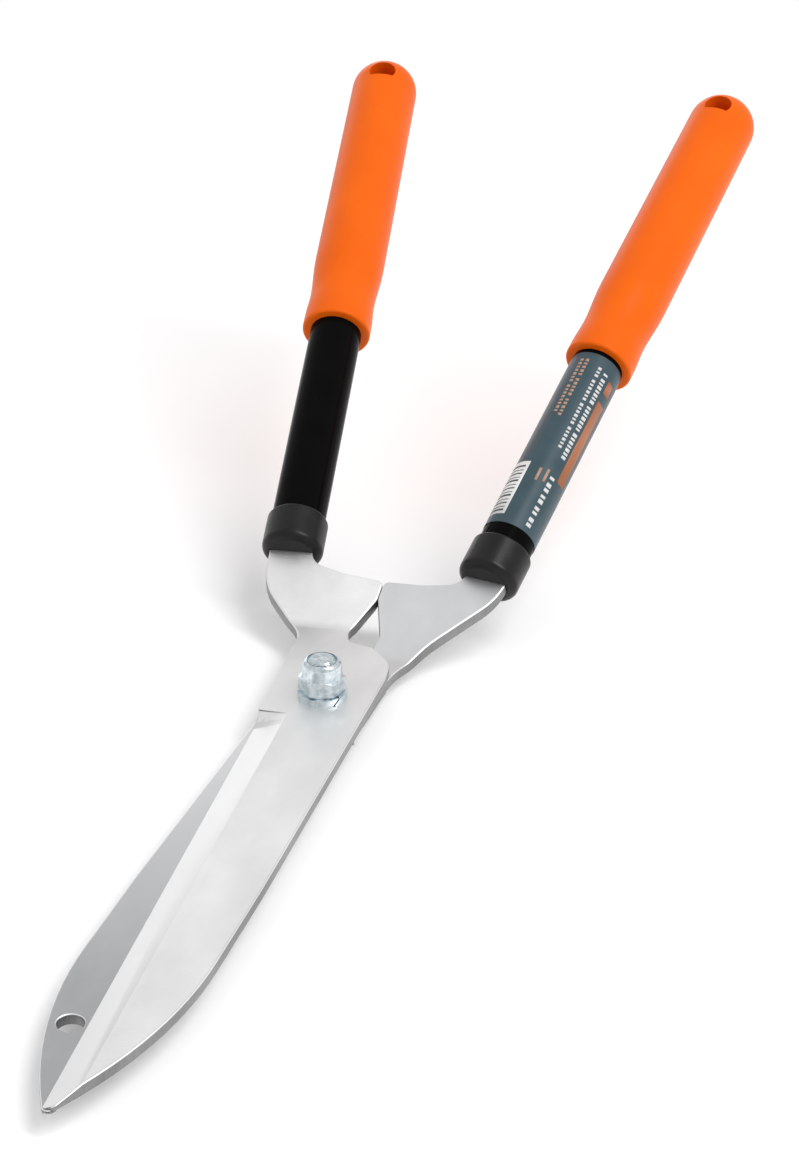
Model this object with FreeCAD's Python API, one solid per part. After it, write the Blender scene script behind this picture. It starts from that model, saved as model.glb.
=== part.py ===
import FreeCAD, Part
import os
from math import atan2, cos, degrees, radians, sin, sqrt, tan

from FreeCAD import Matrix, Vector

# Hedge and grass shears with two cranked tubular handles.
# Frame, in millimetres: the origin is the centre of the pivot on the mating
# plane of the two blades.  +Y runs from the blade tips to the handles, +Z is
# the pivot axis and points at the nut, +X is to the right.  The shears are
# closed, with the shoulders of the two tangs touching on the line X = 0.
# Every handle piece is made for the right handle and mirrored for the left.

# ---- driving dimensions ----------------------------------------------------

# Blades: two flat steel blades, each with its tang in one piece.
blade_thickness = 4.0
blade_reach = 231.5           # pivot to tip
spine_half_width = 17.3       # pivot to spine, beside the pivot
blade_belly = 21.3            # pivot line to spine at the widest place
belly_place = 148.0           # pivot to the widest place
edge_heel_width = 17.0        # pivot line to cutting edge at the heel
heel_place = 16.0             # pivot to the heel of the cutting edge
edge_tip_offset = 1.8         # pivot line to cutting edge at the tip
tip_angle = 28.3              # spine against the pivot line, at the tip
tip_blunt = 1.9               # pivot line to the spine, at the tip
tip_straight = 3.5            # straight end of the spine
bevel_heel_width = 9.8
bevel_tip_width = 8.8
bevel_ramp_run = 7.0          # the grind runs in from the heel over this length
bevel_ramp_start = 0.12       # share of its depth where it starts
edge_land = 0.4               # thickness left at the cutting edge

# Roundings and small offsets of the spine and the tip.
spine_root_radius = 12.0
spine_heel_swell = 0.9
spine_heel_radius = 150.0
spine_bow_inset = 0.4
spine_bow_share = 0.8         # of the way to the widest place
spine_bow_radius = 400.0
tip_radius = 1.5
edge_tip_radius = 1.2
heel_step = 0.6               # run of the short step where the edge starts

# Cheek: the side of each blade from the heel up to the narrow neck.
upper_cheek_heel = 17.3
upper_cheek_neck = (22.0, 40.9)
upper_bulge_along = 71.7
lower_cheek_heel = 15.6
lower_cheek_neck = (16.4, 37.5)
lower_bulge_along = 80.7
upper_cheek_radius = 18.0
lower_cheek_radius = 40.0

# Tang: the flat strip that runs up into the handle.
crank_angle = 25.6            # rise of the handle out of the blade plane
splay_angle = 9.0             # handle against the centre line, closed
handle_offset = 25.0          # handle axis to pivot, square to the handle
lower_bend_along = 41.0       # pivot to the bend of the lower tang
bend_radius = 10.0            # on the inside of the bend
tang_width = 16.0
tang_core_width = 11.0        # inside the handle
tang_step_along = 95.0
tang_end_along = 124.0
shoulder_line = 70.0          # far side of the stop shoulders, along Y
shoulder_gap = 0.05           # half the gap left at the stop faces
stop_face_start = 62.5
notch_half_width = 5.5
notch_line = 47.0
lobe_top = 38.0
lobe_root = 17.0              # where the lobe runs into the spine

# Roundings and small offsets of the tang, the shoulder and the lobe.
tang_bulge_radius = 22.0
tang_end_radius = 2.0
shoulder_root_before = 4.6    # from the collar's face
shoulder_root_radius = 6.0
shoulder_dip_across = 15.0
shoulder_dip = 0.2
shoulder_dip_radius = 22.0
shoulder_corner_radius = 2.2
notch_top_radius = 6.0
notch_side_lean = 0.3
notch_side_radius = 6.0
notch_foot_inset = 1.6
notch_foot_rise = 2.0
notch_foot_radius = 4.5
lobe_across = 6.5
lobe_drop = 0.3
lobe_radius = 9.0
lobe_side_inset = 1.7
lobe_side_drop = 9.0
lobe_side_radius = 14.0

# Hanging hole through the lower blade, near its tip.
tip_hole_diameter = 8.2
tip_hole_across = 10.0
tip_hole_along = 193.0

# Pivot: a round-head bolt with a square neck, spring washer and lock nut.
bolt_diameter = 9.52
bolt_head_diameter = 21.4
bolt_head_height = 5.0
bolt_head_rim = 1.0
bolt_end_chamfer = 0.8
neck_length = 3.4
neck_clearance = 0.05
pivot_clearance = 0.06
bolt_stand_out = 0.4
washer_diameter = 17.3
washer_thickness = 2.4
washer_bore_clearance = 0.2
washer_gap = 0.8
washer_gap_angle = -36.0
nut_across_flats = 14.3
nut_hex_height = 5.9
nut_height = 11.7
nut_crown_foot_diameter = 14.0
nut_crown_diameter = 13.4
nut_crown_round = 2.2
nut_chamfer_angle = 30.0
nut_seat_face = 0.98          # round faces of the hexagon, against its flats
nut_top_face = 0.96
nut_mouth_diameter = 10.6
insert_diameter = 11.8
thread_clearance = 0.05
nut_flat_angle = -72.0        # direction that one flat of the nut faces
insert_height = 2.6
insert_lip = 0.9              # metal rolled over the insert

# Handles, measured along the handle from the foot of the pivot square.
tube_diameter = 20.0
tube_wall = 1.2
tube_end_along = 322.0
collar_start_along = 87.8
collar_end_along = 103.2
collar_wall = 1.4
collar_face = 3.4             # thickness of the slotted end face
collar_rim_radius = 3.0
collar_lip_radius = 0.8
slot_clearance = 0.1
plug_length = 44.0

# Label: a thin sleeve round the right tube, open at the back.
label_start_along = 109.3
label_end_along = 195.7
label_thickness = 0.15
label_opening = 40.0          # degrees left open at the back
label_clearance = 0.05

# Grips: moulded sleeves with a domed end and a hanging hole.
grip_mouth_along = 197.7
grip_end_along = 348.0
grip_mouth_wall = 3.3
grip_waist_wall = 2.8
grip_body_wall = 3.8
grip_tail_wall = 3.5
grip_rim_length = 5.0
grip_waist_length = 15.0
grip_swell_length = 37.0
grip_mouth_round = 1.0
grip_hole_radius = 5.45
grip_hole_flat = 3.0          # flat side of the hole, from its centre
grip_hole_to_end = 13.2

# ---- values worked out from them --------------------------------------------

crank = radians(crank_angle)
splay = radians(splay_angle)
half_sheet = blade_thickness / 2
# Height of the handle axis at its foot, so that the middle of the lower tang
# lies on it; the upper tang bends later by the rise of one sheet.
handle_foot_height = -half_sheet - lower_bend_along * tan(crank)
upper_bend_along = lower_bend_along + blade_thickness / tan(crank)
tube_start_along = collar_start_along + collar_face
tube_radius = tube_diameter / 2
tube_bore = tube_diameter - 2 * tube_wall
collar_radius = tube_radius + collar_wall
grip_mouth_radius = tube_radius + grip_mouth_wall
grip_waist_radius = tube_radius + grip_waist_wall
grip_body_radius = tube_radius + grip_body_wall
grip_tail_radius = tube_radius + grip_tail_wall
nut_seat_height = blade_thickness + washer_thickness
nut_top_height = nut_seat_height + nut_height
bolt_top_height = nut_top_height + bolt_stand_out
insert_seat_height = nut_top_height - insert_lip - insert_height
grip_hole_along = grip_end_along - grip_hole_to_end
# The ends of the tang are cut square to the blade, so they lean in the slot.
slot_end_room = slot_clearance + half_sheet * tan(crank)
through = 60.0                # long enough to cut through any piece
overlap = 1.0                 # how far a cutting shape runs past the cut
small = 0.01

X_AXIS = Vector(1, 0, 0)
Y_AXIS = Vector(0, 1, 0)
Z_AXIS = Vector(0, 0, 1)
ORIGIN = Vector(0, 0, 0)


# ---- helpers ------------------------------------------------------------------

def rounded_outline(corners):
    """A closed wire of straight runs; each corner is (x, y, radius).

    Where two roundings would meet on a short run, both shrink to fit it.
    """
    count = len(corners)
    spots = [Vector(x, y, 0) for x, y, radius in corners]
    halves = []
    reaches = []
    for i in range(count):
        back = spots[i - 1] - spots[i]
        ahead = spots[(i + 1) % count] - spots[i]
        halves.append(back.getAngle(ahead) / 2)
        reaches.append(corners[i][2] / tan(halves[i]))
    shares = [1.0] * count
    for i in range(count):
        following = (i + 1) % count
        run = (spots[following] - spots[i]).Length
        wanted = reaches[i] + reaches[following]
        if wanted > 0:
            share = min(1.0, 0.98 * run / wanted)
            shares[i] = min(shares[i], share)
            shares[following] = min(shares[following], share)
    edges = []
    starts = []
    ends = []
    for i in range(count):
        here = spots[i]
        back = (spots[i - 1] - here).normalize()
        ahead = (spots[(i + 1) % count] - here).normalize()
        reach = reaches[i] * shares[i]
        radius = reach * tan(halves[i])
        starts.append(here + ahead * reach)
        ends.append(here + back * reach)
        if radius > 0:
            middle = here + (back + ahead).normalize() * (radius / sin(halves[i]) - radius)
            edges.append(Part.Arc(ends[i], middle, starts[i]).toShape())
    for i in range(count):
        edges.append(Part.LineSegment(starts[i], ends[(i + 1) % count]).toShape())
    return Part.Wire(Part.__sortEdges__(edges))


def prism(wire, bottom, top):
    """The solid between two heights over a flat wire drawn at height 0."""
    wire.translate(Z_AXIS * bottom)
    return Part.Face(wire).extrude(Z_AXIS * (top - bottom))


def revolve_about_y(points):
    """A turned solid from (radius, along) points, corners (r, y, rounding)."""
    wire = rounded_outline(points)
    return Part.Face(wire).revolve(ORIGIN, Y_AXIS, 360)


def along_cylinder(radius, start, end):
    return Part.makeCylinder(radius, end - start, Y_AXIS * start, Y_AXIS)


def plan_point(across, along):
    """Plan position of a place on the handle, measured on its slope."""
    run = along * cos(crank)
    return (across * cos(splay) + run * sin(splay), run * cos(splay) - across * sin(splay))


def on_handle(shape):
    """Move a shape made about the Y axis onto the axis of the right handle."""
    across = Vector(cos(splay), -sin(splay), 0)
    along = Vector(sin(splay) * cos(crank), cos(splay) * cos(crank), sin(crank))
    normal = across.cross(along)
    foot = across * handle_offset + Z_AXIS * handle_foot_height
    place = Matrix(across.x, along.x, normal.x, foot.x,
                   across.y, along.y, normal.y, foot.y,
                   across.z, along.z, normal.z, foot.z,
                   0, 0, 0, 1)
    placed = shape.copy()
    placed.transformShape(place)
    return placed


def mirrored(shape):
    return shape.mirror(ORIGIN, X_AXIS)


def write(name, shape):
    solid = shape.removeSplitter()
    if len(solid.Solids) != 1 or not solid.isValid():
        raise RuntimeError(name + " is not one valid solid")
    solid.Solids[0].exportStep("parts/" + name + ".step")


# ---- blades ---------------------------------------------------------------------

def bent_sheet(sheet_middle, bend_along):
    """The blade sheet before it is cut out: flat, then cranked up."""
    inner = bend_radius
    outer = bend_radius + blade_thickness
    centre_run = bend_along - (bend_radius + half_sheet) * tan(crank / 2)
    centre_rise = sheet_middle + half_sheet + bend_radius
    far_run = 2 * blade_reach
    slope_length = 2 * tang_end_along

    def spot(radius, angle, run=0.0):
        side = centre_run + radius * sin(angle) + run * cos(angle)
        rise = centre_rise - radius * cos(angle) + run * sin(angle)
        return Vector(0, side, rise)

    below_start = Vector(0, -far_run, sheet_middle - half_sheet)
    above_start = Vector(0, -far_run, sheet_middle + half_sheet)
    edges = [
        Part.LineSegment(below_start, spot(outer, 0)).toShape(),
        Part.Arc(spot(outer, 0), spot(outer, crank / 2), spot(outer, crank)).toShape(),
        Part.LineSegment(spot(outer, crank), spot(outer, crank, slope_length)).toShape(),
        Part.LineSegment(spot(outer, crank, slope_length),
                         spot(inner, crank, slope_length)).toShape(),
        Part.LineSegment(spot(inner, crank, slope_length), spot(inner, crank)).toShape(),
        Part.Arc(spot(inner, crank), spot(inner, crank / 2), spot(inner, 0)).toShape(),
        Part.LineSegment(spot(inner, 0), above_start).toShape(),
        Part.LineSegment(above_start, below_start).toShape(),
    ]
    profile = Part.Face(Part.Wire(edges))
    profile.translate(X_AXIS * -blade_reach)
    sheet = profile.extrude(X_AXIS * 2 * blade_reach)
    sheet.rotate(ORIGIN, Z_AXIS, -splay_angle)
    return sheet


def spine_corners():
    """The spine from beside the pivot down to the tip, on the left."""
    lean = radians(tip_angle)
    curve_rise = (blade_belly - tip_blunt) / tan(lean)
    curve_length = (blade_belly - tip_blunt) / sin(lean) - tip_straight
    return [
        (-spine_half_width, lobe_root, spine_root_radius),
        (-spine_half_width - spine_heel_swell, -heel_place, spine_heel_radius),
        (-blade_belly + spine_bow_inset, -spine_bow_share * belly_place, spine_bow_radius),
        (-blade_belly, -blade_reach + curve_rise, curve_length / tan(lean / 2)),
        (-tip_blunt, -blade_reach, tip_radius),
    ]


def blade_outline(cheek_heel, cheek_neck, cheek_radius, bulge_along):
    """Plan outline of the right-handed blade with its tang."""
    outer = handle_offset + tang_width / 2
    inner = handle_offset - tang_width / 2
    core_outer = handle_offset + tang_core_width / 2
    core_inner = handle_offset - tang_core_width / 2
    handle_side = [
        (edge_tip_offset, -blade_reach, edge_tip_radius),
        (edge_heel_width, -heel_place - heel_step, 0),
        (cheek_heel, -heel_place, 0),
        (cheek_neck[0], cheek_neck[1], cheek_radius),
        (*plan_point(outer, bulge_along), tang_bulge_radius),
        (*plan_point(outer, tang_step_along), 0),
        (*plan_point(core_outer, tang_step_along), 0),
        (*plan_point(core_outer, tang_end_along), tang_end_radius),
        (*plan_point(core_inner, tang_end_along), tang_end_radius),
        (*plan_point(core_inner, tang_step_along), 0),
        (*plan_point(inner, tang_step_along), 0),
    ]
    stop_side = [
        (*plan_point(inner, collar_start_along - shoulder_root_before), shoulder_root_radius),
        (shoulder_dip_across, shoulder_line - shoulder_dip, shoulder_dip_radius),
        (shoulder_gap, shoulder_line, shoulder_corner_radius),
        (shoulder_gap, stop_face_start, notch_top_radius),
        (notch_half_width + notch_side_lean, notch_line, notch_side_radius),
        (notch_half_width - notch_foot_inset, lobe_top + notch_foot_rise, notch_foot_radius),
        (-lobe_across, lobe_top - lobe_drop, lobe_radius),
        (-spine_half_width + lobe_side_inset, lobe_top - lobe_side_drop, lobe_side_radius),
    ]
    return rounded_outline(handle_side + stop_side + spine_corners())


def bevel_section(width, station, face_height, mating_height, depth_share=1.0):
    """Wedge section across the bevel, with the cutting edge at x = 0."""
    rise = face_height - mating_height
    full_land = mating_height + edge_land * rise / abs(rise)
    land = face_height - (face_height - full_land) * depth_share
    overshoot = 1.5 * blade_thickness
    drop = (face_height - land) / width * overshoot
    return Part.makePolygon([
        Vector(-width, station, face_height),
        Vector(overshoot, station, land - drop),
        Vector(overshoot, station, face_height + rise),
        Vector(-width, station, face_height + rise),
        Vector(-width, station, face_height),
    ])


def bevel_cutter(face_height, mating_height):
    """Wedge that grinds the long bevel of the right-handed blade."""
    edge_run = blade_reach - heel_place
    run_out = edge_run / 5
    narrowing = (bevel_heel_width - bevel_tip_width) / edge_run
    far_width = bevel_tip_width - narrowing * run_out
    ramp_width = bevel_heel_width - narrowing * bevel_ramp_run
    heel = bevel_section(bevel_heel_width, 0, face_height, mating_height, bevel_ramp_start)
    ramp_end = bevel_section(ramp_width, -bevel_ramp_run, face_height, mating_height)
    far_end = bevel_section(far_width, -edge_run - run_out, face_height, mating_height)
    cutter = Part.makeLoft([heel, ramp_end, far_end], True, True)
    lean = atan2(edge_heel_width - edge_tip_offset, edge_run)
    cutter.rotate(ORIGIN, Z_AXIS, -degrees(lean))
    cutter.translate(Vector(edge_heel_width, -heel_place, 0))
    return cutter


def blade(sheet_middle, bend_along, outline, bore):
    sheet = bent_sheet(sheet_middle, bend_along)
    body = sheet.common(prism(outline, -through, 2 * through))
    side = 1 if sheet_middle > 0 else -1
    body = body.cut(bevel_cutter(side * blade_thickness, 0.0))
    return body.cut(bore)


def upper_blade():
    bore = Part.makeCylinder(bolt_diameter / 2 + pivot_clearance, through, Vector(0, 0, -through / 2))
    outline = blade_outline(upper_cheek_heel, upper_cheek_neck, upper_cheek_radius,
                            upper_bulge_along)
    return mirrored(blade(half_sheet, upper_bend_along, outline, bore))


def lower_blade():
    side = bolt_diameter + 2 * neck_clearance
    square_hole = Part.makeBox(side, side, through, Vector(-side / 2, -side / 2, -through / 2))
    outline = blade_outline(lower_cheek_heel, lower_cheek_neck, lower_cheek_radius,
                            lower_bulge_along)
    body = blade(-half_sheet, lower_bend_along, outline, square_hole)
    hole_place = Vector(-tip_hole_across, -tip_hole_along, -through / 2)
    return body.cut(Part.makeCylinder(tip_hole_diameter / 2, through, hole_place))


# ---- pivot ------------------------------------------------------------------------

def pivot_bolt():
    """Bolt with a low domed head under the lower blade and a square neck."""
    half = bolt_diameter / 2
    head_radius = bolt_head_diameter / 2
    under_head = -blade_thickness
    head_bottom = under_head - bolt_head_height
    shank = Part.makeCylinder(half, bolt_top_height - under_head, Z_AXIS * under_head)
    end_edge = [edge for edge in shank.Edges if edge.BoundBox.ZMin > bolt_top_height - small]
    shank = shank.makeChamfer(bolt_end_chamfer, end_edge)
    neck = Part.makeBox(bolt_diameter, bolt_diameter, neck_length, Vector(-half, -half, under_head))
    dome = bolt_head_height - bolt_head_rim
    dome_radius = (head_radius ** 2 + dome ** 2) / (2 * dome)
    head = Part.makeCylinder(head_radius, bolt_head_height, Z_AXIS * head_bottom)
    ball = Part.makeSphere(dome_radius, Z_AXIS * (head_bottom + dome_radius))
    return head.common(ball).fuse(neck).fuse(shank)


def spring_washer():
    """Split ring with a slanting gap."""
    bore = bolt_diameter / 2 + washer_bore_clearance
    ring = Part.makeCylinder(washer_diameter / 2, washer_thickness, Vector(0, 0, blade_thickness))
    ring = ring.cut(Part.makeCylinder(bore, through, Vector(0, 0, -through / 2)))
    slant = washer_thickness
    low = blade_thickness
    high = nut_seat_height
    section = Part.makePolygon([
        Vector(0, -washer_gap / 2 - slant / 2, low),
        Vector(0, washer_gap / 2 - slant / 2, low),
        Vector(0, washer_gap / 2 + slant / 2, high),
        Vector(0, -washer_gap / 2 + slant / 2, high),
        Vector(0, -washer_gap / 2 - slant / 2, low),
    ])
    gap = Part.Face(section).extrude(X_AXIS * washer_diameter)
    gap.rotate(ORIGIN, Z_AXIS, washer_gap_angle)
    return ring.cut(gap)


def lock_nut():
    """Hexagon nut with chamfered corners and a rolled collar on top."""
    corner = nut_across_flats / sqrt(3)
    hex_top = nut_seat_height + nut_hex_height
    points = []
    for i in range(7):
        angle = radians(nut_flat_angle + 30 + 60 * i)
        points.append(Vector(corner * cos(angle), corner * sin(angle), 0))
    hexagon = prism(Part.makePolygon(points), nut_seat_height, hex_top)
    slope = tan(radians(nut_chamfer_angle))
    reach = corner + nut_hex_height / slope
    seat_radius = nut_across_flats / 2 * nut_seat_face
    top_radius = nut_across_flats / 2 * nut_top_face
    below_rise = (reach - seat_radius) * slope
    above_rise = (reach - top_radius) * slope
    below = Part.makeCone(seat_radius, reach, below_rise, Z_AXIS * nut_seat_height)
    above = Part.makeCone(reach, top_radius, above_rise, Z_AXIS * (hex_top - above_rise))
    hexagon = hexagon.common(below).common(above)
    crown = revolve_about_y([
        (0, hex_top - overlap, 0),
        (nut_crown_foot_diameter / 2, hex_top - overlap, 0),
        (nut_crown_diameter / 2, nut_top_height, nut_crown_round),
        (0, nut_top_height, 0),
    ])
    crown.rotate(ORIGIN, X_AXIS, 90)
    nut = hexagon.fuse(crown)
    nut = nut.cut(Part.makeCylinder(bolt_diameter / 2 + thread_clearance, through, ORIGIN))
    pocket = Part.makeCylinder(insert_diameter / 2, insert_height, Z_AXIS * insert_seat_height)
    mouth = Part.makeCylinder(nut_mouth_diameter / 2, through,
                              Z_AXIS * (nut_top_height - insert_lip))
    return nut.cut(pocket).cut(mouth)


def nut_insert():
    """Nylon locking ring held inside the top of the nut."""
    bottom = Z_AXIS * insert_seat_height
    ring = Part.makeCylinder(insert_diameter / 2, insert_height, bottom)
    return ring.cut(Part.makeCylinder(bolt_diameter / 2, insert_height, bottom))


# ---- handle pieces, made about the Y axis -------------------------------------------

def tang_slot(start, end):
    """Room for the flat tang, up to its narrow core."""
    height = blade_thickness + 2 * slot_clearance
    wide = tang_width + 2 * slot_clearance
    narrow = tang_core_width + 2 * slot_clearance
    step = tang_step_along + slot_end_room
    mouth = Part.makeBox(wide, step - start, height, Vector(-wide / 2, start, -height / 2))
    core = Part.makeBox(narrow, end - start, height, Vector(-narrow / 2, start, -height / 2))
    return mouth.fuse(core)


def tube():
    outer = along_cylinder(tube_radius, tube_start_along, tube_end_along)
    return outer.cut(along_cylinder(tube_bore / 2, tube_start_along, tube_end_along))


def collar():
    """Moulded end cap of the tube, with a slot for the tang."""
    body = revolve_about_y([
        (0, collar_start_along, 0),
        (collar_radius, collar_start_along, collar_rim_radius),
        (collar_radius, collar_end_along, collar_lip_radius),
        (0, collar_end_along, 0),
    ])
    body = body.cut(along_cylinder(tube_radius, tube_start_along, collar_end_along + overlap))
    return body.cut(tang_slot(collar_start_along - overlap, tube_start_along + overlap))


def tang_plug():
    """Core inside the tube that grips the tang."""
    end = tube_start_along + plug_length
    body = along_cylinder(tube_bore / 2, tube_start_along, end)
    return body.cut(tang_slot(tube_start_along - overlap, tang_end_along + slot_end_room))


def grip():
    """Moulded sleeve, closed by a dome with a D-shaped hanging hole."""
    mouth = grip_mouth_along
    dome_centre = grip_end_along - grip_tail_radius
    diagonal = cos(radians(45))
    rim_cut = grip_mouth_round * (1 - diagonal)
    start = Vector(tube_radius, mouth, 0)
    rim_in = Vector(grip_mouth_radius - grip_mouth_round, mouth, 0)
    rim_out = Vector(grip_mouth_radius, mouth + grip_mouth_round, 0)
    rim_middle = Vector(grip_mouth_radius - rim_cut, mouth + rim_cut, 0)
    rim_end = Vector(grip_mouth_radius, mouth + grip_rim_length, 0)
    waist = Vector(grip_waist_radius, mouth + grip_waist_length, 0)
    swell = Vector(grip_body_radius, mouth + grip_swell_length, 0)
    tail = Vector(grip_tail_radius, dome_centre, 0)
    dome_middle = Vector(grip_tail_radius * diagonal, dome_centre + grip_tail_radius * diagonal, 0)
    dome_top = Vector(0, grip_end_along, 0)
    floor = Vector(0, tube_end_along, 0)
    corner = Vector(tube_radius, tube_end_along, 0)
    side = Part.BSplineCurve()
    side.interpolate(Points=[rim_end, waist, swell], InitialTangent=Y_AXIS, FinalTangent=Y_AXIS)
    edges = [
        Part.LineSegment(start, rim_in).toShape(),
        Part.Arc(rim_in, rim_middle, rim_out).toShape(),
        Part.LineSegment(rim_out, rim_end).toShape(),
        side.toShape(),
        Part.LineSegment(swell, tail).toShape(),
        Part.Arc(tail, dome_middle, dome_top).toShape(),
        Part.LineSegment(dome_top, floor).toShape(),
        Part.LineSegment(floor, corner).toShape(),
        Part.LineSegment(corner, start).toShape(),
    ]
    body = Part.Face(Part.Wire(edges)).revolve(ORIGIN, Y_AXIS, 360)
    hole_place = Vector(0, grip_hole_along, -through / 2)
    hole = Part.makeCylinder(grip_hole_radius, through, hole_place)
    keep = Part.makeBox(through, through, through,
                        Vector(-through / 2, grip_hole_along - grip_hole_flat, -through / 2))
    return body.cut(hole.common(keep))


def label():
    """Thin printed sleeve, open along the back of the tube."""
    inside = tube_radius + label_clearance
    first = label_start_along - overlap
    last = label_end_along + overlap
    body = along_cylinder(inside + label_thickness, label_start_along, label_end_along)
    body = body.cut(along_cylinder(inside, first, last))
    half = radians(label_opening / 2)
    reach = 2 * tube_diameter
    wedge = Part.makePolygon([
        Vector(0, first, 0),
        Vector(reach * sin(half), first, -reach * cos(half)),
        Vector(-reach * sin(half), first, -reach * cos(half)),
        Vector(0, first, 0),
    ])
    gap = Part.Face(wedge).extrude(Y_AXIS * (last - first))
    return body.cut(gap)


# ---- all nodes --------------------------------------------------------------------------

def main():
    os.makedirs("parts", exist_ok=True)
    write("upper_blade", upper_blade())
    write("lower_blade", lower_blade())
    write("pivot_bolt", pivot_bolt())
    write("spring_washer", spring_washer())
    write("lock_nut", lock_nut())
    write("nut_insert", nut_insert())
    handle_pieces = {"tube": tube, "collar": collar, "tang_plug": tang_plug, "grip": grip}
    for name, make in handle_pieces.items():
        right = on_handle(make())
        write("right_" + name, right)
        write("left_" + name, mirrored(right))
    write("tube_label", on_handle(label()))


main()
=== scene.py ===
"""The looks of a pair of two-handed shears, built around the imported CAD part.

Everything is in metres, in the part's own frame: the pivot is at the origin, the blades
point along -Y and the bolt stands along +Z.
"""

import math

import bmesh
import bpy
from mathutils import Matrix, Vector


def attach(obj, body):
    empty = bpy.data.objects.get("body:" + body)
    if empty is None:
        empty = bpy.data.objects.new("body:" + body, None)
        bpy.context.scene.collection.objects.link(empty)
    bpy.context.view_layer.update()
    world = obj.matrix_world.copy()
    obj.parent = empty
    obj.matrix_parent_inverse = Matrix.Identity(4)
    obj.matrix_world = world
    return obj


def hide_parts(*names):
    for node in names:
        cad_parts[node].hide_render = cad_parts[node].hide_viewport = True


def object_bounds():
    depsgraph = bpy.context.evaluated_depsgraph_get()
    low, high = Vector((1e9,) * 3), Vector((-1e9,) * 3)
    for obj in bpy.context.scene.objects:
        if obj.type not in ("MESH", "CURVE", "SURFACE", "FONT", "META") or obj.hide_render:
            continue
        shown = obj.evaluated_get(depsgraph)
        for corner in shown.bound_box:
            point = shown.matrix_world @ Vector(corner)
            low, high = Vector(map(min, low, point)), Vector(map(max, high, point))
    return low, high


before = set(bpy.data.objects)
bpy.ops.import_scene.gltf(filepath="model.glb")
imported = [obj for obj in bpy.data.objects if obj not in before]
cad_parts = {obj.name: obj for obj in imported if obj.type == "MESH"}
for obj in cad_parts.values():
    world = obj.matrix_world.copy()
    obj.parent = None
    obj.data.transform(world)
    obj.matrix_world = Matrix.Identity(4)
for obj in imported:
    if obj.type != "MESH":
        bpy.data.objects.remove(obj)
cad_low, cad_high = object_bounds()

# ---------------------------------------------------------------- sizes, in metres
plate_thickness = 0.004
edge_rounding = 0.0007                  # on the blades' outer edges
edge_segments = 3
weld_distance = 2e-6
flat_tolerance = math.radians(0.4)
crease_angle = math.radians(12)         # sharper turns than this show as creases

heel_across = 0.0170                    # where the cutting edge starts
heel_along = -0.0160
heel_clear = 0.0090                     # no edge is rounded this near the heel
land_limit = 0.0010                     # lower walls than this belong to the cutting edge
upright = 0.3                           # a wall's normal rises less than this
square_low = 60.0                       # a punched edge turns by between these, in degrees
square_high = 120.0

side_rise = 0.45                        # side walls have normals that rise less than this
ground_low = 0.85                       # the ground bevel's normal rises between these
ground_high = 0.985
ground_start = -0.02                    # and it lies beyond this place
sliding_rise = 0.9                      # the sliding face's normal rises more than this

handle_rake = math.radians(25.6)        # how steeply the handles rise
handle_splay = math.radians(9.0)        # how far each handle leans outward
handle_offset = 0.025                   # from the blades' centre line to the handle's line
bend_along = 0.041                      # where the tangs start to rise

label_start = 0.1093                    # along the handle's line
label_length = 0.0864
label_radius = 0.0102
ink_depth = 0.00003
ink_height = 0.00005
ink_step = math.radians(4)
group_gap = 0.020                       # between groups of bars, as a share of the label

bolt_radius = 0.00476
thread_pitch = 0.00159
thread_depth = 0.00045
thread_low = 0.0150
thread_high = 0.01805
thread_steps = 48                       # around one turn
thread_fade = 12                        # steps over which each end runs out
thread_crest = 0.45                     # share of the depth that stands out of the bolt
thread_flank = 0.36                     # half the width of the thread, in pitches
thread_sink = 0.00015                   # how far its foot lies inside the bolt

tip_shade_start = -0.04                      # painted shade darkens the sliding face toward the tip between these places
tip_shade_end = -0.17

floor_size = 9.0
mm = 1000.0                             # texture scales are given per millimetre

camera_place = (0.262106, -0.767639, 0.468781)
camera_azimuth = math.radians(17.01)
camera_elevation = math.radians(27.47)
camera_roll = math.radians(0.65)
camera_lens = 83.97                     # millimetres
camera_sensor = 36.0
camera_near = 0.05
camera_far = 50.0
world_strength = 0.82


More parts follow.
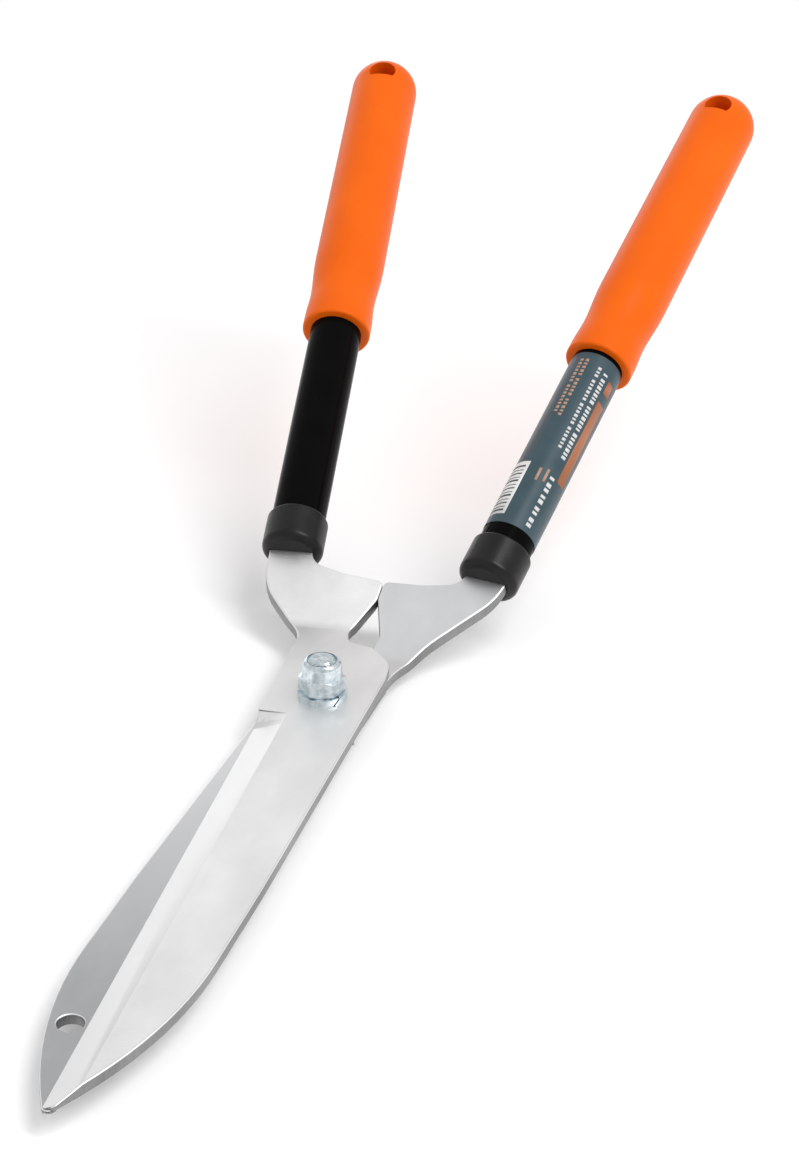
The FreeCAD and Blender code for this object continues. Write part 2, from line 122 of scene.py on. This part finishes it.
# ---------------------------------------------------------------- material building
class Surface:
    """A node material that is built a step at a time."""

    def __init__(self, name, **sockets):
        self.material = bpy.data.materials.new(name)
        self.material.use_nodes = True
        self.tree = self.material.node_tree
        self.shader = self.tree.nodes["Principled BSDF"]
        for socket, value in sockets.items():
            self.shader.inputs[socket.replace("_", " ")].default_value = value
        self.place = self.node("ShaderNodeTexCoord").outputs["Object"]

    def node(self, kind, **settings):
        made = self.tree.nodes.new(kind)
        for name, value in settings.items():
            setattr(made, name, value)
        return made

    def feed(self, socket, value):
        if isinstance(value, bpy.types.NodeSocket):
            self.tree.links.new(value, socket)
        else:
            socket.default_value = value

    def to_shader(self, socket, value):
        self.tree.links.new(value, self.shader.inputs[socket])

    def maths(self, operation, first, second):
        made = self.node("ShaderNodeMath", operation=operation)
        self.feed(made.inputs[0], first)
        self.feed(made.inputs[1], second)
        return made.outputs[0]

    def stretched(self, x, y, z):
        """Object coordinates, scaled to the given number of cells per millimetre."""
        made = self.node("ShaderNodeVectorMath", operation="MULTIPLY")
        self.feed(made.inputs[0], self.place)
        self.feed(made.inputs[1], (x * mm, y * mm, z * mm))
        return made.outputs[0]

    def noise(self, coordinates, detail, roughness=0.5):
        made = self.node("ShaderNodeTexNoise")
        self.feed(made.inputs["Vector"], coordinates)
        made.inputs["Scale"].default_value = 1.0
        made.inputs["Detail"].default_value = detail
        made.inputs["Roughness"].default_value = roughness
        return made.outputs["Fac"]

    def spread(self, value, low, high, to_low=0.0, to_high=1.0):
        """Maps low..high to to_low..to_high, held at both ends."""
        made = self.node("ShaderNodeMapRange")
        self.feed(made.inputs["Value"], value)
        made.inputs["From Min"].default_value = low
        made.inputs["From Max"].default_value = high
        made.inputs["To Min"].default_value = to_low
        made.inputs["To Max"].default_value = to_high
        return made.outputs["Result"]

    def mixed(self, share, first, second):
        """The first colour where share is 0, the second where it is 1."""
        made = self.node("ShaderNodeMix", data_type="RGBA")
        self.feed(made.inputs[0], share)
        self.feed(made.inputs[6], first)
        self.feed(made.inputs[7], second)
        return made.outputs[2]

    def along(self, axis):
        """The place along one of the part's axes, in metres."""
        made = self.node("ShaderNodeSeparateXYZ")
        self.feed(made.inputs[0], self.place)
        return made.outputs[axis]

    def bump(self, height, depth, onto=None):
        """A bump of the given depth in metres, optionally on top of another one."""
        made = self.node("ShaderNodeBump")
        made.inputs["Strength"].default_value = 1.0
        made.inputs["Distance"].default_value = depth
        self.feed(made.inputs["Height"], height)
        if onto is not None:
            self.feed(made.inputs["Normal"], onto)
        return made.outputs["Normal"]


def grey(value, warmth=0.0):
    """A grey colour, a little warmer or, below 0, cooler."""
    return (value * (1 + warmth), value, value * (1 - warmth), 1.0)


def steel(name, dark, light, roughness, grain, grain_depth, tip_shade=None):
    """Ground or polished steel. grain is the number of cells per millimetre on each axis.

    The last argument is a darker colour of painted shade, which takes over toward the tip of the blade.
    """
    made = Surface(name, Metallic=1.0)
    lines = made.noise(made.stretched(*grain), detail=4.0, roughness=0.6)
    cloud = made.noise(made.stretched(0.06, 0.03, 0.06), detail=3.0)
    specks = made.noise(made.stretched(1.3, 1.3, 1.3), detail=5.0, roughness=0.7)
    line_share = made.maths("MULTIPLY", lines, 0.35)
    cloud_share = made.maths("MULTIPLY", cloud, 0.65)
    tone = made.maths("ADD", line_share, cloud_share)
    colour = made.mixed(made.spread(tone, 0.35, 0.65), dark, light)
    # painted shade: the colour darkens in patches toward the tip
    if tip_shade:
        share = made.spread(made.along("Y"), tip_shade_start, tip_shade_end)
        patches = made.spread(cloud, 0.2, 0.6, 0.7, 1.0)
        colour = made.mixed(made.maths("MULTIPLY", share, patches), colour, tip_shade)
    made.to_shader("Base Color", colour)
    line_rough = made.spread(lines, 0.3, 0.7, -0.05, 0.05)
    cloud_rough = made.spread(cloud, 0.3, 0.7, -0.04, 0.04)
    rough = made.maths("ADD", line_rough, cloud_rough)
    scuff = made.spread(specks, 0.62, 0.75, 0.0, 0.08)
    made.to_shader("Roughness", made.maths("ADD", made.maths("ADD", rough, scuff), roughness))
    made.to_shader("Normal", made.bump(lines, grain_depth))
    return made


def face_steel():
    """The outer faces, with fine polishing lines across them."""
    made = steel(
        "face_steel", grey(0.76), grey(0.86),
        roughness=0.46, grain=(0.25, 6.0, 2.0), grain_depth=0.000004,
    )
    return made.material


def ground_steel():
    """The ground bevel, with fine grinding lines across it."""
    made = steel(
        "ground_steel", grey(0.67), grey(0.73),
        roughness=0.42, grain=(0.15, 9.0, 0.15), grain_depth=0.000003,
    )
    return made.material


def shaded_inner_steel():
    """The sliding face of the lower blade, with painted shade: darker all over than the outer faces, and
    darker still toward the tip.
    """
    made = steel(
        "shaded_inner_steel", grey(0.66, -0.01), grey(0.74, -0.01),
        roughness=0.46, grain=(0.3, 7.0, 2.0), grain_depth=0.000004,
        # a darker colour of painted shade toward the tip
        tip_shade=grey(0.42, -0.02),
    )
    return made.material


def shaded_side_steel():
    """The punched side faces, streaked through the thickness, with painted shade darkening their colour.
    """
    made = steel(
        "shaded_side_steel", grey(0.21), grey(0.36),
        roughness=0.45, grain=(1.2, 1.2, 0.15), grain_depth=0.000012,
    )
    return made.material


def zinc():
    """Bright zinc plate with a bluish tint."""
    dark, light = (0.47, 0.55, 0.59, 1), (0.78, 0.84, 0.87, 1)
    made = Surface("zinc_plate", Metallic=1.0)
    cloud = made.noise(made.stretched(0.45, 0.45, 0.45), detail=4.0, roughness=0.6)
    grain = made.noise(made.stretched(4.0, 4.0, 4.0), detail=3.0)
    made.to_shader("Base Color", made.mixed(made.spread(cloud, 0.35, 0.65), dark, light))
    made.to_shader("Roughness", made.spread(grain, 0.3, 0.7, 0.14, 0.26))
    made.to_shader("Normal", made.bump(cloud, 0.00005, made.bump(grain, 0.000006)))
    return made.material


def nylon():
    """The locking ring inside the nut: dull blue-grey nylon."""
    dark, light = (0.30, 0.36, 0.42, 1), (0.50, 0.56, 0.60, 1)
    made = Surface("nylon", Roughness=0.5)
    cloud = made.noise(made.stretched(1.0, 1.0, 1.0), detail=3.0)
    made.to_shader("Base Color", made.mixed(cloud, dark, light))
    made.to_shader("Normal", made.bump(cloud, 0.00005))
    return made.material


def black_paint():
    """Smooth black paint with a faint orange peel."""
    made = Surface("black_paint", Specular_IOR_Level=0.02)
    peel = made.noise(made.stretched(0.9, 0.9, 0.9), detail=2.0)
    cloud = made.noise(made.stretched(0.05, 0.05, 0.05), detail=4.0)
    made.to_shader("Base Color", made.mixed(cloud, grey(0.002), grey(0.004)))
    made.to_shader("Normal", made.bump(peel, 0.00002))
    made.to_shader("Roughness", made.spread(cloud, 0.3, 0.7, 0.12, 0.20))
    return made.material


def black_plastic():
    """Moulded black plastic with a fine satin grain."""
    made = Surface("black_plastic", Specular_IOR_Level=0.25)
    grain = made.noise(made.stretched(3.5, 3.5, 3.5), detail=3.0)
    cloud = made.noise(made.stretched(0.15, 0.15, 0.15), detail=3.0)
    made.to_shader("Base Color", made.mixed(cloud, grey(0.004), grey(0.008)))
    made.to_shader("Roughness", made.spread(cloud, 0.3, 0.7, 0.26, 0.40))
    made.to_shader("Normal", made.bump(grain, 0.000012))
    return made.material


def orange_grip():
    """Moulded orange plastic, smooth with a very fine grain."""
    dark, light = (0.74, 0.108, 0.002, 1), (0.80, 0.124, 0.003, 1)
    made = Surface("orange_grip", Specular_IOR_Level=0.10)
    grain = made.noise(made.stretched(2.5, 2.5, 2.5), detail=4.0, roughness=0.6)
    cloud = made.noise(made.stretched(0.04, 0.04, 0.04), detail=4.0)
    made.to_shader("Base Color", made.mixed(made.spread(cloud, 0.3, 0.7), dark, light))
    made.to_shader("Roughness", made.spread(grain, 0.3, 0.7, 0.30, 0.40))
    made.to_shader("Normal", made.bump(grain, 0.00002))
    return made.material


def label_film():
    """Slate blue printed film with fine wrinkles."""
    dark, light = (0.030, 0.058, 0.074, 1), (0.044, 0.078, 0.096, 1)
    made = Surface("label_film", Specular_IOR_Level=0.30)
    cloud = made.noise(made.stretched(0.12, 0.12, 0.12), detail=4.0)
    grain = made.noise(made.stretched(5.0, 5.0, 5.0), detail=2.0)
    made.to_shader("Base Color", made.mixed(cloud, dark, light))
    made.to_shader("Roughness", made.spread(cloud, 0.3, 0.7, 0.28, 0.40))
    made.to_shader("Normal", made.bump(cloud, 0.00006, made.bump(grain, 0.000004)))
    return made.material


def ink(name, dark, light):
    """Printing ink on the film, a little uneven."""
    made = Surface(name, Roughness=0.4)
    cloud = made.noise(made.stretched(1.5, 1.5, 1.5), detail=3.0)
    made.to_shader("Base Color", made.mixed(cloud, dark, light))
    made.to_shader("Roughness", made.spread(cloud, 0.3, 0.7, 0.35, 0.48))
    return made.material


def floor_paper():
    """White studio paper."""
    made = Surface("floor_paper")
    cloud = made.noise(made.stretched(0.002, 0.002, 0.002), detail=2.0)
    fibre = made.noise(made.stretched(0.4, 0.4, 0.4), detail=2.0)
    made.to_shader("Base Color", made.mixed(cloud, grey(0.93), grey(0.95)))
    made.to_shader("Roughness", made.spread(fibre, 0.3, 0.7, 0.85, 0.95))
    return made.material


# ---------------------------------------------------------------- pieces
def new_piece(name, mesh_maker, materials, body):
    """Turns a bmesh into a smooth-shaded piece that rides on a body."""
    mesh = bpy.data.meshes.new(name)
    mesh_maker.to_mesh(mesh)
    mesh_maker.free()
    mesh.polygons.foreach_set("use_smooth", [True] * len(mesh.polygons))
    for material in materials:
        mesh.materials.append(material)
    piece = bpy.data.objects.new(name, mesh)
    bpy.context.scene.collection.objects.link(piece)
    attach(piece, body)
    return piece


def flatten_normals(piece):
    """Large flat faces keep one normal, so that only the rounded edges shade softly."""
    made = piece.modifiers.new("flat faces", "WEIGHTED_NORMAL")
    made.keep_sharp = True
    made.weight = 100


def rounded_blade(node, name, body, materials, choose_finish, heel_side):
    """A blade copied from its CAD node, with its punched edges rounded off.

    heel_side is 1 where the heel of the cutting edge lies at +X and -1 where it lies at -X.
    """
    shape = bmesh.new()
    shape.from_mesh(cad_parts[node].data)
    bmesh.ops.remove_doubles(shape, verts=shape.verts, dist=weld_distance)
    bmesh.ops.dissolve_limit(
        shape, angle_limit=flat_tolerance, verts=shape.verts, edges=shape.edges
    )
    shape.normal_update()
    punched = [edge for edge in shape.edges if is_punched(edge, heel_side)]
    for edge in shape.edges:
        edge.smooth = edge.calc_face_angle(0.0) < crease_angle
    for edge in punched:
        edge.smooth = True
    bmesh.ops.bevel(
        shape, geom=punched, offset=edge_rounding, offset_type="OFFSET",
        segments=edge_segments, profile=0.5, affect="EDGES", clamp_overlap=False,
    )
    shape.normal_update()
    for face in shape.faces:
        face.material_index = choose_finish(face)
    piece = new_piece(name, shape, materials, body)
    flatten_normals(piece)
    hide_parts(node)
    return piece


def is_punched(edge, heel_side):
    """An outer edge of the plate, where a flat face meets a side wall.

    The cutting edge and the start of the grind stay sharp.
    """
    if len(edge.link_faces) != 2:
        return False
    for vertex in edge.verts:
        across = vertex.co.x - heel_side * heel_across
        along = vertex.co.y - heel_along
        if math.hypot(across, along) < heel_clear:
            return False
    for face in edge.link_faces:
        heights = [vertex.co.z for vertex in face.verts]
        if abs(face.normal.z) < upright and max(heights) - min(heights) < land_limit:
            return False
    turn = math.degrees(edge.calc_face_angle(0.0))
    return square_low < turn < square_high


def is_ground(face, rise):
    """Part of the ground bevel. rise is how far its normal rises from the blade's plane."""
    return face.calc_center_median().y < ground_start and ground_low < rise < ground_high


def upper_finish(face):
    """0 face, 1 ground bevel, 2 side wall."""
    if abs(face.normal.z) < side_rise:
        return 2
    if is_ground(face, face.normal.z):
        return 1
    return 0


def lower_finish(face):
    """0 face, 1 ground bevel, 2 side wall, 3 sliding face."""
    if abs(face.normal.z) < side_rise:
        return 2
    if is_ground(face, -face.normal.z):
        return 1
    if face.normal.z > sliding_rise:
        return 3
    return 0


def handle_place(across, along, above):
    """A point of the right handle's own frame, in the part's frame."""
    side = Vector((math.cos(handle_splay), -math.sin(handle_splay), 0))
    line = Vector((
        math.sin(handle_splay) * math.cos(handle_rake),
        math.cos(handle_splay) * math.cos(handle_rake),
        math.sin(handle_rake),
    ))
    up = side.cross(line)
    foot = side * handle_offset
    foot.z = -plate_thickness / 2 - bend_along * math.tan(handle_rake)
    return foot + side * across + line * along + up * above


def add_bar(shape, start, end, first, last, lift=0.0):
    """One printed bar on the label.

    start and end are shares of the label's length, first and last are degrees round it.
    """
    first, last = math.radians(first), math.radians(last)
    steps = max(1, round((last - first) / ink_step))
    rings = []
    for share in (start, end):
        for height in (-ink_depth, ink_height):
            ring = []
            for step in range(steps + 1):
                turn = first + (last - first) * step / steps
                radius = label_radius + height + lift
                along = label_start + label_length * share
                place = handle_place(radius * math.sin(turn), along, radius * math.cos(turn))
                ring.append(shape.verts.new(place))
            rings.append(ring)
    low_in, low_out, high_in, high_out = rings
    for step in range(steps):
        pairs = ((low_out, high_out), (high_in, low_in), (low_in, low_out), (high_out, high_in))
        for one, other in pairs:
            shape.faces.new((one[step], one[step + 1], other[step + 1], other[step]))
    for step in (0, steps):
        ends = [low_in[step], low_out[step], high_out[step], high_in[step]]
        shape.faces.new(ends if step else ends[::-1])


def printed_row(start, end, middle, height, lengths, gap, group):
    """A row of small plain bars of repeating lengths along the label, set in groups."""
    bars = []
    place = start
    index = 0
    while place + lengths[index % len(lengths)] <= end:
        length = lengths[index % len(lengths)]
        bars.append((place, place + length, middle - height / 2, middle + height / 2))
        index += 1
        place += length + (gap if index % group else group_gap)
    return bars


def ink_piece(name, bars, material, lift=0.0):
    shape = bmesh.new()
    for bar in bars:
        add_bar(shape, *bar, lift)
    bmesh.ops.recalc_face_normals(shape, faces=shape.faces)
    piece = new_piece(name, shape, [material], "lower_half")
    for edge in piece.data.edges:
        edge.use_edge_sharp = True
    return piece


def bolt_thread(material):
    """The last turns of the bolt's thread, which show in the mouth of the nut."""
    shape = bmesh.new()
    turns = (thread_high - thread_low) / thread_pitch
    count = int(turns * thread_steps)
    rows = []
    for index in range(count + 1):
        turn = 2 * math.pi * index / thread_steps
        height = thread_low + thread_pitch * index / thread_steps
        fade = min(1.0, index / thread_fade, (count - index) / thread_fade)
        crest = thread_depth * thread_crest * fade
        profile = ((-thread_sink, -thread_flank), (crest, 0.0), (-thread_sink, thread_flank))
        row = []
        for out, lift in profile:
            radius = bolt_radius + out
            row.append(shape.verts.new((
                radius * math.cos(turn), radius * math.sin(turn), height + lift * thread_pitch,
            )))
        rows.append(row)
    for row, after in zip(rows, rows[1:]):
        for one in range(3):
            other = (one + 1) % 3
            shape.faces.new((row[one], row[other], after[other], after[one]))
    shape.faces.new(rows[0])
    shape.faces.new(rows[-1][::-1])
    bmesh.ops.recalc_face_normals(shape, faces=shape.faces)
    return new_piece("bolt_thread", shape, [material], "lower_half")


# ---------------------------------------------------------------- the object
def dress(names, material):
    """Gives a material to CAD nodes that keep their shape."""
    for name in names:
        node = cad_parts[name]
        for place in node.material_slots:
            place.link = "OBJECT"
            place.material = material


faces, ground, sides, inner = face_steel(), ground_steel(), shaded_side_steel(), shaded_inner_steel()
plated = zinc()
rounded_blade(
    "upper_blade", "upper_blade_finished", "upper_half",
    materials=[faces, ground, sides], choose_finish=upper_finish, heel_side=-1,
)
rounded_blade(
    "lower_blade", "lower_blade_finished", "lower_half",
    materials=[faces, ground, sides, inner], choose_finish=lower_finish, heel_side=1,
)
bolt_thread(plated)
dress(["pivot_bolt", "spring_washer", "lock_nut"], plated)
dress(["nut_insert"], nylon())
dress(["left_tube", "right_tube"], black_paint())
dress(["left_collar", "right_collar", "left_tang_plug", "right_tang_plug"], black_plastic())
dress(["left_grip", "right_grip"], orange_grip())
dress(["tube_label"], label_film())

white_bars = (
    printed_row(
        start=0.42, end=0.95, middle=49, height=11,
        lengths=(0.015, 0.012, 0.018, 0.010), gap=0.008, group=7,
    )
    + printed_row(
        start=0.46, end=0.955, middle=31, height=8,
        lengths=(0.013, 0.010, 0.015), gap=0.009, group=6,
    )
    + printed_row(
        start=0.03, end=0.33, middle=48, height=12,
        lengths=(0.018, 0.022, 0.015), gap=0.009, group=2,
    )
)
tan_bars = (
    printed_row(
        start=0.62, end=0.965, middle=-2, height=8,
        lengths=(0.014, 0.011, 0.016), gap=0.008, group=5,
    )
    + printed_row(
        start=0.64, end=0.965, middle=-15, height=8,
        lengths=(0.011, 0.015, 0.013), gap=0.008, group=8,
    )
    + [(0.255, 0.325, 14, 20), (0.265, 0.335, 30, 36)]
)
rust_bars = [(0.31, 0.79, 61, 87), (0.84, 0.91, 63, 84)]
pale_panel = [(0.045, 0.345, -64, -10)]
stripe_widths = (0.010, 0.004, 0.007, 0.004)
stripe_count = 13
stripe_start = 0.060
stripe_pitch = 0.021
stripes = []
for index in range(stripe_count):
    stripe = stripe_start + stripe_pitch * index
    stripes.append((stripe, stripe + stripe_widths[index % len(stripe_widths)], -60, -17))

white_ink = ink("white_ink", grey(0.55), grey(0.70))
tan_ink = ink("tan_ink", (0.36, 0.22, 0.16, 1), (0.46, 0.28, 0.20, 1))
rust_ink = ink("rust_ink", (0.30, 0.10, 0.04, 1), (0.40, 0.14, 0.06, 1))
panel_ink = ink("panel_ink", grey(0.66), grey(0.78))
dark_ink = ink("dark_ink", grey(0.03), grey(0.05))
ink_piece("label_white_rows", white_bars, white_ink)
ink_piece("label_tan_rows", tan_bars, tan_ink)
ink_piece("label_broad_bar", rust_bars, rust_ink)
ink_piece("label_pale_panel", pale_panel, panel_ink)
ink_piece("label_stripes", stripes, dark_ink, lift=ink_height)


# ---------------------------------------------------------------- the studio
def make_floor():
    half = floor_size / 2
    shape = bmesh.new()
    corners = [shape.verts.new((x * half, y * half, 0)) for x, y in ((-1, -1), (1, -1), (1, 1), (-1, 1))]
    shape.faces.new(corners)
    mesh = bpy.data.meshes.new("floor")
    shape.to_mesh(mesh)
    shape.free()
    mesh.materials.append(floor_paper())
    floor = bpy.data.objects.new("floor", mesh)
    floor.location.z = cad_low.z
    bpy.context.scene.collection.objects.link(floor)


def soft_light(name, place, aim, width, height, power):
    lamp = bpy.data.lights.new(name, "AREA")
    lamp.shape = "RECTANGLE"
    lamp.size = width
    lamp.size_y = height
    lamp.energy = power
    box = bpy.data.objects.new(name, lamp)
    box.location = place
    box.rotation_mode = "QUATERNION"
    box.rotation_quaternion = (Vector(aim) - Vector(place)).to_track_quat("-Z", "Y")
    bpy.context.scene.collection.objects.link(box)


def make_camera():
    """The camera stands at the height and bearing of the photograph."""
    back = Vector((
        math.sin(camera_azimuth) * math.cos(camera_elevation),
        -math.cos(camera_azimuth) * math.cos(camera_elevation),
        math.sin(camera_elevation),
    ))
    right = Vector((math.cos(camera_azimuth), math.sin(camera_azimuth), 0))
    up = back.cross(right)
    side = right * math.cos(camera_roll) + up * math.sin(camera_roll)
    top = up * math.cos(camera_roll) - right * math.sin(camera_roll)
    camera = bpy.data.cameras.new("camera")
    camera.sensor_width = camera_sensor
    camera.lens = camera_lens
    camera.clip_start = camera_near
    camera.clip_end = camera_far
    stand = bpy.data.objects.new("camera", camera)
    turn = Matrix((side, top, back)).transposed().to_4x4()
    stand.matrix_world = Matrix.Translation(camera_place) @ turn
    bpy.context.scene.collection.objects.link(stand)
    bpy.context.scene.camera = stand


def make_world():
    world = bpy.data.worlds.new("studio")
    world.use_nodes = True
    world.node_tree.nodes["Background"].inputs["Color"].default_value = grey(1.0)
    world.node_tree.nodes["Background"].inputs["Strength"].default_value = world_strength
    bpy.context.scene.world = world
    bpy.context.scene.view_settings.view_transform = "Standard"


make_floor()
make_camera()
make_world()
soft_light("key", place=(0.80, -0.10, 1.30), aim=(0, 0.15, 0.05), width=0.45, height=1.0, power=12)
soft_light("low_left", place=(-1.1, 1.7, 0.45), aim=(0, 0, 0), width=1.3, height=0.7, power=3)
